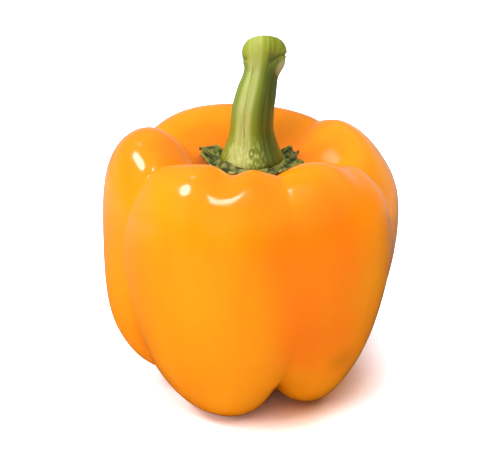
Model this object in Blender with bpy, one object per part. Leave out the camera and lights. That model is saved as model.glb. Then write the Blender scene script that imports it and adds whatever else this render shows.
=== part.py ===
"""A bell pepper as picked: a blocky fruit of five lobes, its dried calyx and its stem.

Units are metres and +Z is up. The pepper stands on three of its feet, its front faces -Y and the
origin is at the bottom middle of its box. The driving dimensions below are in millimetres, and an
azimuth is in degrees from the front, growing towards +X.

The skin is one grid. Each named station is a ring round the fruit, pulled out at the crests of the
lobes and in at the grooves between them. Down each column of the grid one smooth curve joins the
stations, from the floor of the hollow at the stem to the blossom end.
"""
from dataclasses import dataclass
from math import acos, atan2, pi, tau

import bmesh
import bpy
import numpy as np
from mathutils import Matrix, Vector
from mathutils.bvhtree import BVHTree

MM = 0.001
TOUCH_GAP = 0.3          # between pieces that touch
REST_PRESS = 0.5         # how much of each foot is pressed flat where the pepper stands
COLUMNS_PER_LOBE = 20
EVEN_SPACING = 0.5       # 1 spaces a lobe's columns evenly, 0 crowds them at the grooves
CREST_ROUNDNESS = 0.05   # of a swollen lobe's section: 0 is a half circle
CREASE_SOFTNESS = 0.15   # of the fold's bottom, as a part of its half width
FOLD_SHARPNESS = 1.5     # 1 gives a fold straight sides, more draws it to its crease


@dataclass(frozen=True)
class Station:
    """A ring round the fruit, and how strongly each habit of the lobes shows there."""

    radius: float                # of a crest
    height: float                # of a crest
    groove_radius: float = 0.0   # how much further out a groove lies
    groove_height: float = 0.0   # how much higher a groove lies
    swell: float = 0.0           # 0 is a soft wave, 1 is round lobes with narrow grooves
    twist: float = 0.0           # how far grooves and crests have turned to their place at the foot
    top: float = 0.0
    wall: float = 0.0
    foot: float = 0.0
    reach: float = 0.0
    foot_reach: float = 0.0
    rise: float = 0.0
    shoulder: float = 0.0
    foot_rise: float = 0.0
    fold_depth: float = 0.0
    fold_width: float = 0.0
    soften: float = 0.0
    rows: int = 4                # rows of the grid from here to the next station


STATIONS = {
    "floor centre": Station(0.0, 65.0, rows=2),
    "floor edge": Station(12.5, 65.5, 0.3, -0.2, 0.2, top=0.3, rows=3),
    "hollow wall": Station(19.0, 70.6, 0.3, -3.0, 0.5, top=1, reach=0.4, rise=0.8, fold_depth=0.8),
    "rim": Station(28.5, 75.0, -0.6, -4.2, 0.65, top=1, reach=0.8, rise=1, fold_depth=1,
                   fold_width=0.2, soften=0.1),
    "shoulder": Station(38.0, 68.5, -2.8, -3.2, 0.45, twist=0.1, top=1, reach=1, rise=0.8,
                        shoulder=1, fold_depth=0.12, fold_width=0.1, soften=0.8, rows=5),
    "belly": Station(42.2, 50.0, -2.4, 0.0, 0.25, twist=0.35, wall=1, reach=1, rise=0.2, soften=1,
                     rows=5),
    "low wall": Station(39.8, 28.0, -3.6, 0.0, 0.4, twist=0.7, wall=1, reach=0.8, foot_reach=0.35,
                        foot_rise=0.1, soften=1, rows=5),
    "foot outside": Station(32.0, 9.0, -7.0, 3.0, 0.8, twist=0.9, foot=1, reach=0.4, foot_reach=0.8,
                            foot_rise=0.7, soften=0.3),
    "foot": Station(22.0, 0.5, -7.0, 8.0, 0.9, twist=1, foot=1, foot_reach=1, foot_rise=1),
    "foot inside": Station(12.0, 4.5, -3.0, 5.0, 0.5, twist=1, foot=1, foot_reach=0.8, foot_rise=0.7),
    "blossom end": Station(0.0, 9.0, twist=1, rows=0),
}


@dataclass(frozen=True)
class Lobe:
    """One lobe: where its crest runs, and how far it stands out from the common form."""

    crest: float
    crest_foot: float
    reach: float = 1.0        # of its wall, as a part of the common radius
    rise: float = 0.0         # of its rim and shoulder
    shoulder: float = 0.0     # how much more its shoulder alone rises
    foot_reach: float = 1.0
    foot_rise: float = 0.0


@dataclass(frozen=True)
class Groove:
    """A groove between two lobes: where it runs, and how deep it is at each height."""

    at: float
    foot_at: float
    top: float = 1.0
    wall: float = 1.0
    foot: float = 1.0
    sharpness: float = 1.0


@dataclass(frozen=True)
class Fold:
    """A fold that dents a lobe's rim and fades out on its shoulder; a negative depth lifts it instead."""

    at: float
    half_width: float
    depth: float


LOBES = {
    "front": Lobe(-22.0, -16.0, rise=0.2, foot_reach=1.055),
    "right front": Lobe(34.0, 52.0, reach=1.01, rise=-1.4, foot_reach=0.97),
    "right back": Lobe(122.5, 110.0, reach=1.07, rise=-1.0, shoulder=-3.4, foot_rise=2.0),
    "back": Lobe(200.0, 195.0, rise=0.3),
    "left": Lobe(278.0, 276.0, reach=0.979, rise=3.0, shoulder=1.6, foot_reach=1.12, foot_rise=5.2),
}
GROOVES = (              # each one lies before the lobe in the same place of the list above
    Groove(-55.0, -70.0, wall=1.3, foot=0.75),
    Groove(16.0, 19.0, top=0.75, wall=0.6, sharpness=0.4),
    Groove(82.0, 86.0, top=1.9, wall=1.2),
    Groove(138.0, 136.0, top=0.85, wall=0.8, foot=0.8),
    Groove(248.0, 242.0, top=0.8),
)
FOLDS = (Fold(-12.5, 12.0, 2.2), Fold(3.0, 12.0, -0.9))


@dataclass(frozen=True)
class Tooth:
    """A tooth of the calyx: where it points, how far it reaches and how far it curls up."""

    at: float
    reach: float
    half_width: float
    curl: float


CALYX_RADIUS = 11.3
CALYX_COLUMNS = 80
CALYX_THICK_MIDDLE = 1.3
CALYX_THICK_EDGE = 0.9
CALYX_DISH_FROM = 8.6    # the calyx lies on the fruit inside this radius, and curls up outside it
CALYX_DISH_CURL = 0.9
CALYX_RINGS = (0.3, 0.55, 0.7, 0.82, 0.92, 1.0)
CALYX_CRUMPLE = 0.25     # height of its waves at the edge
CALYX_CRUMPLES = 9       # waves round it
CALYX_CRUMPLE_TURN = 3.0  # radians that the waves turn from the middle to the edge
RAGGED_EDGE = ((0.3, 11, 1.0), (0.25, 17, 2.3))   # waves: height, number round the edge, turn in radians
TOOTH_SHARPNESS = 1.2    # 1 gives a tooth straight sides, more draws it to its tip
TEETH = (
    Tooth(-138.0, 0.9, 17.0, 0.4),
    Tooth(-111.0, 4.6, 20.0, 0.9),
    Tooth(-84.0, 2.4, 20.0, 0.5),
    Tooth(-55.0, 0.7, 16.0, 0.3),
    Tooth(-30.0, 0.3, 12.0, 0.8),
    Tooth(14.0, 0.6, 15.0, 0.4),
    Tooth(42.0, 0.9, 15.0, 0.2),
    Tooth(82.0, 3.7, 20.0, 0.3),
    Tooth(117.0, 1.2, 12.0, 2.4),
    Tooth(150.0, 2.4, 16.0, 0.3),
    Tooth(183.0, 3.0, 18.0, 0.5),
)


@dataclass(frozen=True)
class StemRing:
    """A ring of the stem: its middle, its radius, how far it leans back and how strong its ribs are."""

    x: float
    y: float
    z: float
    radius: float
    lean: float = 0.0
    rib: float = 1.0


STEM_COLUMNS = 48
STEM_RIBS = 6
STEM_RIB_HEIGHT = 0.22
STEM_RIB_TURN = 0.6      # radians, from a rib straight at the front
STEM_RINGS = (
    StemRing(0.3, 0.0, 67.5, 8.2, rib=0.4),
    StemRing(0.3, 0.0, 68.1, 8.65, rib=0.4),
    StemRing(0.3, 0.0, 68.9, 8.65, rib=0.6),
    StemRing(0.3, 0.0, 69.9, 8.35, rib=0.8),
    StemRing(0.2, 0.0, 71.5, 7.6),
    StemRing(0.1, 0.0, 74.2, 6.75),
    StemRing(0.0, 0.0, 76.9, 6.2),
    StemRing(0.2, 0.0, 79.6, 6.0),
    StemRing(0.6, 0.1, 82.8, 5.8),
    StemRing(1.2, 0.2, 86.0, 5.6),
    StemRing(1.8, 0.3, 89.0, 5.25),
    StemRing(2.4, 0.4, 91.4, 4.8, 4.0),
    StemRing(2.85, 0.5, 93.4, 4.65, 9.0, 0.9),
    StemRing(3.25, 0.7, 95.2, 5.3, 16.0, 0.6),
    StemRing(3.5, 0.9, 97.0, 6.05, 25.0, 0.4),
    StemRing(3.6, 1.2, 98.8, 6.05, 35.0, 0.3),
    StemRing(3.6, 1.5, 100.15, 5.0, 42.0, 0.3),
)
STEM_FACE_RINGS = (0.84, 0.5, 0.0)   # of the cut face, as parts of its edge's radius
STEM_FACE_DIP = 0.5
STEM_FOOT_RINGS = (0.9, 0.45, 0.0)   # under its foot, in the same way

FRUIT_ORANGE = (0.93, 0.30, 0.013)
CALYX_GREEN = (0.055, 0.085, 0.018)
STEM_GREEN = (0.26, 0.31, 0.055)


def mix(first, second, part):
    """The value this part of the way from the first to the second."""
    return first + (second - first) * part


def smooth(part):
    """An even ease from 0 to 1."""
    return part * part * (3 - 2 * part)


def turned_from(azimuth, middle):
    """How many degrees an azimuth lies from a middle one, -180 to 180."""
    return (azimuth - middle + 180) % 360 - 180


def on_ring(azimuth, radius, height):
    """Points at these azimuths, radii and heights, in millimetres."""
    turn = np.radians(azimuth)
    return np.stack(np.broadcast_arrays(radius * np.sin(turn), -radius * np.cos(turn), height), -1)


def lobe_section(across, swell):
    """The lobe's height over its grooves: 1 on the crest (across 0), 0 in a groove (across -1 or 1)."""
    wave = np.cos(pi * across / 2) ** 2
    low = CREST_ROUNDNESS**0.5
    arch = (np.sqrt(1 + CREST_ROUNDNESS - across**2) - low) / (np.sqrt(1 + CREST_ROUNDNESS) - low)
    return mix(wave, arch, swell)


def groove_depth(groove, station):
    """How deep the groove is at the station, as a part of the station's own depth."""
    return (1 + (groove.top - 1) * station.top + (groove.wall - 1) * station.wall
            + (groove.foot - 1) * station.foot)


def fold_depth(azimuth, fold):
    """How deep the fold dents the rim at each azimuth, in millimetres."""
    across = np.abs(turned_from(azimuth, fold.at)) / fold.half_width
    soft = CREASE_SOFTNESS
    slope = (np.sqrt(across**2 + soft**2) - soft) / (np.sqrt(1 + soft**2) - soft)
    return fold.depth * np.clip(1 - slope, 0, 1) ** FOLD_SHARPNESS


def lobe_arc(station, lobe, before, after):
    """The station's points on one lobe, from the groove before it up to the groove after it."""
    step = np.arange(COLUMNS_PER_LOBE) / COLUMNS_PER_LOBE
    part = mix((1 - np.cos(pi * step)) / 2, step, EVEN_SPACING)
    start = mix(before.at, before.foot_at, station.twist)
    end = start + (mix(after.at, after.foot_at, station.twist) - start) % 360
    crest = start + (mix(lobe.crest, lobe.crest_foot, station.twist) - start) % 360
    azimuth = mix(start, end, part)
    across = (azimuth - crest) / np.where(azimuth < crest, crest - start, end - crest)

    nearer_end = smooth(part)
    reach = 1 + (lobe.reach - 1) * station.reach + (lobe.foot_reach - 1) * station.foot_reach
    crest_radius = station.radius * reach
    crest_height = (station.height + lobe.rise * station.rise + lobe.shoulder * station.shoulder
                    + lobe.foot_rise * station.foot_rise)
    depth = mix(groove_depth(before, station), groove_depth(after, station), nearer_end)
    groove_radius = station.radius + station.groove_radius * depth
    groove_height = station.height + station.groove_height * depth
    sharpness = 1 + (mix(before.sharpness, after.sharpness, nearer_end) - 1) * station.soften
    out = lobe_section(across, station.swell * sharpness)
    folded = sum(fold_depth(azimuth, fold) for fold in FOLDS)
    radius = mix(groove_radius, crest_radius, out) - station.fold_width * folded
    height = mix(groove_height, crest_height, out) - station.fold_depth * folded
    return on_ring(azimuth, radius, height)


def station_ring(station):
    """All of the station's points, lobe after lobe."""
    after = GROOVES[1:] + GROOVES[:1]
    return np.concatenate([lobe_arc(station, *lobe) for lobe in zip(LOBES.values(), GROOVES, after)])


def spline_weights(knots, places):
    """Each place's weights for a natural cubic spline through values at the knots."""
    count, gap = len(knots), np.diff(knots)
    left, right = np.zeros((count, count)), np.zeros((count, count))
    left[0, 0] = left[-1, -1] = 1.0
    for i in range(1, count - 1):
        left[i, i - 1:i + 2] = gap[i - 1], 2 * (gap[i - 1] + gap[i]), gap[i]
        right[i, i - 1:i + 2] = 6 / gap[i - 1], -6 / gap[i - 1] - 6 / gap[i], 6 / gap[i]
    bends = np.linalg.solve(left, right)
    weights = np.zeros((len(places), count))
    for row, place in enumerate(places):
        i = int(np.clip(np.searchsorted(knots, place) - 1, 0, count - 2))
        u, v = (knots[i + 1] - place) / gap[i], (place - knots[i]) / gap[i]
        weights[row, i:i + 2] = u, v
        weights[row] += ((u**3 - u) * bends[i] + (v**3 - v) * bends[i + 1]) * gap[i] ** 2 / 6
    return weights


def fruit_rings():
    """The grid of the skin, row by row down from the stem, standing on the origin, in millimetres."""
    stations = list(STATIONS.values())
    steps = [np.hypot(b.radius - a.radius, b.height - a.height) for a, b in zip(stations, stations[1:])]
    knots = np.concatenate([[0.0], np.cumsum(steps)])
    places = [mix(knots[i], knots[i + 1], row / station.rows)
              for i, station in enumerate(stations[:-1]) for row in range(station.rows)]
    along = spline_weights(knots, places + [knots[-1]])
    return np.einsum("rs,scd->rcd", along, np.array([station_ring(station) for station in stations]))


def stand_up(rings):
    """The move that puts the grid's pressed feet on the ground and its box over the origin."""
    low, high = rings.min((0, 1)), rings.max((0, 1))
    return np.array([-(low[0] + high[0]) / 2, -(low[1] + high[1]) / 2, -low[2] - REST_PRESS])


def pulled_ball(name, rings, material):
    """A ball's grid pulled to rings in millimetres: the first is its top point, the last its bottom."""
    rows, columns = len(rings) - 1, len(rings[0])
    shape = bmesh.new()
    bmesh.ops.create_uvsphere(shape, u_segments=columns, v_segments=rows, radius=1.0)
    for vert in shape.verts:
        x, y, z = vert.co
        row = round(acos(max(-1.0, min(1.0, z))) / pi * rows)
        vert.co = rings[row][round(atan2(x, -y) / tau * columns) % columns] * MM
    bmesh.ops.triangulate(shape, faces=shape.faces[:], quad_method="SHORT_EDGE")
    mesh = bpy.data.meshes.new(name)
    shape.to_mesh(mesh)
    shape.free()
    mesh.shade_smooth()
    mesh.set_sharp_from_angle(angle=pi / 3)
    mesh.materials.append(material)
    piece = bpy.data.objects.new(name, mesh)
    bpy.context.scene.collection.objects.link(piece)
    return piece


def surface_of(piece):
    """A function that gives the height of the piece's upper surface over a point, in millimetres."""
    corners = [vertex.co.copy() for vertex in piece.data.vertices]
    faces = [tuple(face.vertices) for face in piece.data.polygons]
    tree = BVHTree.FromPolygons(corners, faces)

    def height(x, y):
        hit = tree.ray_cast(Vector((x * MM, y * MM, 1.0)), Vector((0, 0, -1)))[0]
        return hit.z / MM
    return height


def calyx_edge(azimuth):
    """The calyx's reach and its curl at an azimuth: a ragged round with a tooth here and there."""
    turn = np.radians(azimuth)
    reach = CALYX_RADIUS + sum(tall * np.sin(count * turn + start) for tall, count, start in RAGGED_EDGE)
    curl = CALYX_DISH_CURL
    for tooth in TEETH:
        share = max(0.0, 1 - abs(turned_from(azimuth, tooth.at)) / tooth.half_width)
        reach += tooth.reach * share**TOOTH_SHARPNESS
        curl += tooth.curl * share
    return reach, curl


def calyx_ring(part, middle, height, thick):
    """One ring of the calyx at a part of its reach: thick is 1 on its upper side, 0 on its underside."""
    points = []
    for azimuth in np.arange(CALYX_COLUMNS) * 360 / CALYX_COLUMNS:
        reach, curl = calyx_edge(azimuth)
        radius = reach * part
        x, y, _ = on_ring(azimuth, radius, 0.0) + middle
        off = smooth(np.clip((radius - CALYX_DISH_FROM) / (reach - CALYX_DISH_FROM), 0, 1))
        crumple = CALYX_CRUMPLE * part * np.sin(
            np.radians(azimuth) * CALYX_CRUMPLES + part * CALYX_CRUMPLE_TURN)
        lift = curl * off + crumple * off + thick * mix(CALYX_THICK_MIDDLE, CALYX_THICK_EDGE, part)
        points.append((x, y, height(x, y) + TOUCH_GAP + lift))
    return np.array(points)


def calyx_rings(middle, height):
    """The calyx's upper side from its middle to its edge, then its underside back to the middle."""
    upper = [calyx_ring(part, middle, height, 1) for part in (0.0,) + CALYX_RINGS]
    under = [calyx_ring(part, middle, height, 0) for part in CALYX_RINGS[::-1] + (0.0,)]
    return np.array(upper + under)


def stem_ring(ring, move, part=1.0, dip=0.0):
    """A ring of the stem, or the same part of it inside its edge, sunk by the dip along its own lean."""
    turn = np.arange(STEM_COLUMNS) * tau / STEM_COLUMNS
    ribs = STEM_RIB_HEIGHT * ring.rib * np.cos(STEM_RIBS * turn + STEM_RIB_TURN)
    flat = on_ring(np.degrees(turn), (ring.radius + ribs) * part, -dip)
    leaned = flat @ np.array(Matrix.Rotation(np.radians(ring.lean), 3, "X"))
    return leaned + move + (ring.x, ring.y, ring.z)


def stem_rings(move, height):
    """The stem from the middle of its cut face down its side, then under its foot to the middle."""
    top, base = STEM_RINGS[-1], STEM_RINGS[0]
    face = [stem_ring(top, move, part, STEM_FACE_DIP * (1 - part)) for part in STEM_FACE_RINGS[::-1]]
    side = [stem_ring(ring, move) for ring in STEM_RINGS[::-1]]
    foot = [stem_ring(base, move, part) for part in STEM_FOOT_RINGS]
    for points in foot:
        points[:, 2] = [height(x, y) + TOUCH_GAP for x, y, _ in points]
    return np.array(face + side + foot)


def paint(name, colour, roughness):
    """A plain material of one colour."""
    material = bpy.data.materials.new(name)
    material.use_nodes = True
    surface = material.node_tree.nodes["Principled BSDF"]
    surface.inputs["Base Color"].default_value = (*colour, 1.0)
    surface.inputs["Roughness"].default_value = roughness
    surface.inputs["Metallic"].default_value = 0.0
    return material


def main():
    """Clears the scene and models the fruit, the calyx in its hollow and the stem on the calyx."""
    for old in list(bpy.data.objects):
        bpy.data.objects.remove(old, do_unlink=True)
    rings = fruit_rings()
    move = stand_up(rings)
    rings = rings + move
    rings[..., 2] = np.maximum(rings[..., 2], 0.0)
    fruit = pulled_ball("fruit", rings, paint("orange skin", FRUIT_ORANGE, 0.25))
    middle = move * (1, 1, 0)
    dish = calyx_rings(middle, surface_of(fruit))
    calyx = pulled_ball("calyx", dish, paint("dried green", CALYX_GREEN, 0.8))
    pulled_ball("stem", stem_rings(move, surface_of(calyx)), paint("green stem", STEM_GREEN, 0.5))


main()
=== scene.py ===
"""The looks of an orange bell pepper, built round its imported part.

Metres, +Z up, and the pepper's front faces -Y. The fruit's skin is a smoothed copy of its solid with
the small forms of a real one added. The calyx is modelled anew from a grid and the stem from a circle,
on the places that their solids have. Sizes are in millimetres where a name ends in _mm or a docstring
says so, and an azimuth is in degrees from the front, growing towards +X.
"""
from __future__ import annotations

import logging
from collections.abc import Iterator
from contextlib import contextmanager
from dataclasses import dataclass, field
from enum import Enum
from math import cos, pi, radians, sin, tau

import bpy
import numpy as np
from mathutils import Euler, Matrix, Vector, noise


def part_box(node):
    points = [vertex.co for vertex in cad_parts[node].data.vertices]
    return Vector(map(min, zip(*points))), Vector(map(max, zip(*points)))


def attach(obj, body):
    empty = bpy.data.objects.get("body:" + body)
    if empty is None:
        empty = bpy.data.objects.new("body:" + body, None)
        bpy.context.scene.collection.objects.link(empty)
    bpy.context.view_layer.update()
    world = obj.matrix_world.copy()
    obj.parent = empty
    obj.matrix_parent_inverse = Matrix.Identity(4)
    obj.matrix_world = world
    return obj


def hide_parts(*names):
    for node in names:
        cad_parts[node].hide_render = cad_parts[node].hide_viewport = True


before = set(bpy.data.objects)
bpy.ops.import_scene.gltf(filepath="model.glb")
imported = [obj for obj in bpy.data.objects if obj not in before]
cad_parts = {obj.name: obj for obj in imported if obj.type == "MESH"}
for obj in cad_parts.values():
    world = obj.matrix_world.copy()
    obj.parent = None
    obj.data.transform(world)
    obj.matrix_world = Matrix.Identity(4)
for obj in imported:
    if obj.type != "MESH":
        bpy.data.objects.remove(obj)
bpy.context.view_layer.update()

MM = 0.001
BODY = "root"
LOG = logging.getLogger("bell_pepper")

Colour = tuple[float, float, float, float]
Point = tuple[float, float, float]
Span = tuple[float, float]   # the two ends of a range, the first where an effect starts
Piece = bpy.types.Object
Socket = bpy.types.NodeSocket

STEM_PLACE_MM = (-0.51, -0.20)    # where the stem stands on the fruit, with the calyx round it
RELIEF_BUMP_MM = 0.2         # how high the fine bumps of a plant's skin are at full strength
RELIEF_SWELL_MM = 1.0        # how high the softer swell under them is
RELIEF_SWELL_SCALE = 0.12    # the swell's scale as a part of the bumps' scale


class Slot(Enum):
    """The record's material slots."""

    SKIN = "orange_skin"
    CALYX = "dried_calyx"
    STEM = "green_stem"


class Mark(Enum):
    """Attributes that the pieces carry for their finishes."""

    HOLLOW = "hollow"      # above 0 in a groove, below 0 on a crest
    FIBRE = "fibre"        # the point on a straight stem of radius 1, for patterns along its length
    EDGE = "edge"          # 1 on a bare rim: of the calyx, or of the stem's torn lip
    SCAR = "scar"          # 1 on a dry scar: the button at the blossom end, the ring on the stem's foot; also painted shade in the crevice under the stem's head


def deselect_everything() -> None:
    """Leaves edit mode and deselects all objects."""
    if bpy.context.object and bpy.context.object.mode != "OBJECT":
        bpy.ops.object.mode_set(mode="OBJECT")
    bpy.ops.object.select_all(action="DESELECT")


def pick(piece: Piece) -> None:
    """Makes a piece the only selected and the active one.

    Args:
        piece: The piece to pick.
    """
    deselect_everything()
    piece.select_set(True)
    bpy.context.view_layer.objects.active = piece


@contextmanager
def editing(piece: Piece) -> Iterator[None]:
    """Edit mode on one piece, with all of it selected at the start.

    Args:
        piece: The piece to edit.

    Yields:
        Nothing, once edit mode is on.
    """
    pick(piece)
    bpy.ops.object.mode_set(mode="EDIT")
    bpy.ops.mesh.select_all(action="SELECT")
    yield
    bpy.ops.object.mode_set(mode="OBJECT")


def modify(piece: Piece, kind: str, **settings: object) -> None:
    """Adds a modifier and applies it.

    Args:
        piece: The piece that it changes.
        kind: The modifier's type.
        settings: Its values by name.
    """
    modifier = piece.modifiers.new(kind.lower(), kind)
    for name, value in settings.items():
        setattr(modifier, name, value)
    pick(piece)
    bpy.ops.object.modifier_apply(modifier=modifier.name)


def subdivide(piece: Piece, levels: int) -> None:
    """Rounds a piece's mesh by that many levels of subdivision."""
    modify(piece, "SUBSURF", levels=levels, render_levels=levels)


def rows_of(piece: Piece, key: str) -> np.ndarray:
    """Reads three numbers for each corner of a piece's mesh.

    Args:
        piece: The piece to read.
        key: What is read: co for the places, normal for the outward directions.

    Returns:
        A row for each corner.
    """
    rows = np.empty(len(piece.data.vertices) * 3)
    piece.data.vertices.foreach_get(key, rows)
    return rows.reshape(-1, 3)


def points_of(piece: Piece) -> np.ndarray:
    """The places of the corners of a piece's mesh."""
    return rows_of(piece, "co")


def normals_of(piece: Piece) -> np.ndarray:
    """The outward directions at the corners of a piece's mesh."""
    return rows_of(piece, "normal")


def move_points(piece: Piece, places: np.ndarray) -> None:
    """Puts the corners of a piece's mesh at new places."""
    piece.data.vertices.foreach_set("co", places.astype(np.float32).ravel())
    piece.data.update()


def mark(piece: Piece, name: Mark, values: np.ndarray) -> None:
    """Stores a number or a vector for each corner, for the finish to read.

    Args:
        piece: The piece to mark.
        name: Which mark it is.
        values: A number for each corner, or a row of three.
    """
    kind, key = ("FLOAT_VECTOR", "vector") if values.ndim == 2 else ("FLOAT", "value")
    layer = piece.data.attributes.new(name.value, kind, "POINT")
    layer.data.foreach_set(key, values.astype(np.float32).ravel())


def mark_hollows(piece: Piece, rounds: int, full: float) -> None:
    """Marks how far each corner lies under the smoothed surface round it.

    Args:
        piece: The piece to mark.
        rounds: How often the surface is averaged with its neighbours: more reach wider.
        full: The depth in metres that counts as 1.
    """
    here = points_of(piece)
    ends = np.empty(len(piece.data.edges) * 2, dtype=np.int32)
    piece.data.edges.foreach_get("vertices", ends)
    first, second = ends.reshape(-1, 2).T
    near = np.bincount(ends, minlength=len(here))
    even = here.copy()
    for _ in range(rounds):
        for axis in range(3):
            total = np.bincount(first, even[second, axis], len(here))
            total += np.bincount(second, even[first, axis], len(here))
            even[:, axis] = total / near
    depth = ((even - here) * normals_of(piece)).sum(1)
    mark(piece, Mark.HOLLOW, np.clip(depth / full, -1, 1))


def smooth_step(low: float, high: float, value: np.ndarray | float) -> np.ndarray:
    """0 under the low value, 1 over the high one and an even ease between them."""
    part = np.clip((np.asarray(value, float) - low) / (high - low), 0, 1)
    return part * part * (3 - 2 * part)


def turned_from(azimuth: np.ndarray | float, middle: float) -> np.ndarray | float:
    """How many degrees an azimuth lies from a middle one, -180 to 180."""
    return (azimuth - middle + 180) % 360 - 180


def azimuth_of(places: np.ndarray) -> np.ndarray:
    """The azimuth of each place round the Z axis."""
    return np.degrees(np.arctan2(places[:, 0], -places[:, 1]))


def grain(places: np.ndarray, scale: float, octaves: int = 1) -> np.ndarray:
    """Smooth noise from -1 to 1 at each place, the same on each run.

    Args:
        places: Points, one row each.
        scale: How many bumps there are to a unit of length.
        octaves: How many finer layers are added, each half as strong.

    Returns:
        A value for each point.
    """
    return np.array([noise.fractal(Vector(place) * scale, 0.5, 2.0, octaves) for place in places])


class Recipe:
    """A material or a node group while its nodes are laid out."""

    def __init__(self, tree: bpy.types.NodeTree) -> None:
        """Starts on a tree that is cleared."""
        self.tree = tree
        tree.nodes.clear()

    def add(self, kind: str, inputs: dict[str | int, object] | None = None,
            **settings: object) -> bpy.types.Node:
        """Adds a node.

        Args:
            kind: The node's type without the words ShaderNode.
            inputs: Values or sockets of other nodes, by the input's name or number.
            settings: The node's own properties.

        Returns:
            The new node.
        """
        node = self.tree.nodes.new("ShaderNode" + kind)
        for name, value in settings.items():
            setattr(node, name, value)
        for key, value in (inputs or {}).items():
            self.feed(node, key, value)
        return node

    def feed(self, node: bpy.types.Node, key: str | int, value: object) -> None:
        """Links a socket to an input, or sets the input to a value.

        Args:
            node: The node that is fed.
            key: The input's name or number.
            value: A socket of another node, or a constant.
        """
        if isinstance(value, Socket):
            self.tree.links.new(value, node.inputs[key])
        else:
            node.inputs[key].default_value = value

    def read(self, name: Mark, output: str = "Fac") -> Socket:
        """The socket of a node that reads one of the piece's marks."""
        return self.add("Attribute", attribute_name=name.value).outputs[output]

    def blend(self, part: object, first: object, second: object) -> Socket:
        """Lays out a colour between two.

        Args:
            part: The mask: at 0 the colour is the first one, at 1 the second.
            first: The first colour.
            second: The second colour.

        Returns:
            The socket with the colour.
        """
        node = self.add("Mix", data_type="RGBA")
        keys = [socket.identifier for socket in node.inputs]
        for key, value in (("Factor_Float", part), ("A_Color", first), ("B_Color", second)):
            self.feed(node, keys.index(key), value)
        return next(socket for socket in node.outputs if socket.identifier == "Result_Color")

    def ramp(self, value: object, low: float, high: float, start: float = 0.0, end: float = 1.0) -> Socket:
        """A value eased from start to end while the input goes from low to high."""
        inputs = {"Value": value, "From Min": low, "From Max": high, "To Min": start, "To Max": end}
        return self.add("MapRange", inputs, interpolation_type="SMOOTHSTEP").outputs["Result"]

    def math(self, operation: str, *values: object) -> Socket:
        """The result of a sum on one or two values."""
        return self.add("Math", dict(enumerate(values)), operation=operation).outputs[0]

    def times(self, mask: Socket, share: object) -> Socket:
        """A mask made weaker by a number or by another mask."""
        return self.math("MULTIPLY", mask, share)

    def drawn_out(self, place: Socket, squeeze: float) -> Socket:
        """A place squeezed along Z, so that a pattern on it is drawn out that way."""
        return self.add("Mapping", {"Vector": place, "Scale": (1.0, 1.0, squeeze)}).outputs["Vector"]

    def part_of(self, place: Socket, axis: str) -> Socket:
        """One of the three numbers of a place."""
        return self.add("SeparateXYZ", {0: place}).outputs[axis]

    def along(self, place: Socket, direction: Point) -> Socket:
        """How far a place lies in a direction."""
        return self.add("VectorMath", {0: place, 1: direction}, operation="DOT_PRODUCT").outputs["Value"]

    def group(self, tree: bpy.types.NodeTree, **inputs: object) -> bpy.types.Node:
        """Places a node group and feeds it.

        Args:
            tree: The node group.
            inputs: Values or sockets by the inputs' names, with underscores for spaces.

        Returns:
            The group's node.
        """
        node = self.add("Group")
        node.node_tree = tree
        for name, value in inputs.items():
            self.feed(node, name.replace("_", " ").capitalize(), value)
        return node


def new_group(name: str, inputs: dict[str, float | None], outputs: dict[str, str]) -> tuple[Recipe, dict]:
    """Starts a node group.

    Args:
        name: The group's name.
        inputs: Each input's name with its first value, or with nothing for a place in space.
        outputs: Each output's name with its socket type.

    Returns:
        The group's recipe, and its input sockets by name.
    """
    tree = bpy.data.node_groups.new(name, "ShaderNodeTree")
    recipe = Recipe(tree)
    for label, value in inputs.items():
        kind = "NodeSocketVector" if value is None else "NodeSocketFloat"
        socket = tree.interface.new_socket(label, in_out="INPUT", socket_type=kind)
        if value is not None:
            socket.default_value = value
    for label, kind in outputs.items():
        tree.interface.new_socket(label, in_out="OUTPUT", socket_type=kind)
    start = tree.nodes.new("NodeGroupInput")
    return recipe, {label: start.outputs[label] for label in inputs}


def close_group(recipe: Recipe, **outputs: Socket) -> bpy.types.NodeTree:
    """Links a group's results to its outputs.

    Args:
        recipe: The group's recipe.
        outputs: The results by the outputs' names, with underscores for spaces.

    Returns:
        The finished group.
    """
    end = recipe.tree.nodes.new("NodeGroupOutput")
    for name, socket in outputs.items():
        recipe.tree.links.new(socket, end.inputs[name.replace("_", " ").capitalize()])
    return recipe.tree


def patches_group() -> bpy.types.NodeTree:
    """Builds soft patches of growth: a mask from a clouded noise, with its own threshold and softness.

    Returns:
        The finished group.
    """
    inputs = {"Place": None, "Scale": 40.0, "Detail": 2.0, "From": 0.4, "To": 0.6}
    recipe, given = new_group("soft patches", inputs, {"Mask": "NodeSocketFloat"})
    look = {"Vector": given["Place"], "Scale": given["Scale"], "Detail": given["Detail"]}
    cloud = recipe.add("TexNoise", look).outputs["Fac"]
    return close_group(recipe, mask=recipe.ramp(cloud, given["From"], given["To"]))


def relief_group() -> bpy.types.NodeTree:
    """Builds the fine relief of plant skin: a shallow bump of cells over a softer swell.

    Returns:
        The finished group.
    """
    inputs = {"Place": None, "Scale": 900.0, "Depth": 0.05, "Swell": 0.1}
    recipe, given = new_group("skin relief", inputs, {"Normal": "NodeSocketVector"})
    place, scale = given["Place"], given["Scale"]
    fine = recipe.add("TexNoise", {"Vector": place, "Scale": scale, "Detail": 2.0}).outputs["Fac"]
    wider = recipe.math("MULTIPLY", scale, RELIEF_SWELL_SCALE)
    wide = recipe.add("TexNoise", {"Vector": place, "Scale": wider}).outputs["Fac"]
    swell = recipe.add("Bump", {"Strength": given["Swell"], "Distance": RELIEF_SWELL_MM * MM,
                                "Height": wide})
    bump = recipe.add("Bump", {"Strength": given["Depth"], "Distance": RELIEF_BUMP_MM * MM, "Height": fine,
                               "Normal": swell.outputs["Normal"]})
    return close_group(recipe, normal=bump.outputs["Normal"])


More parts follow.
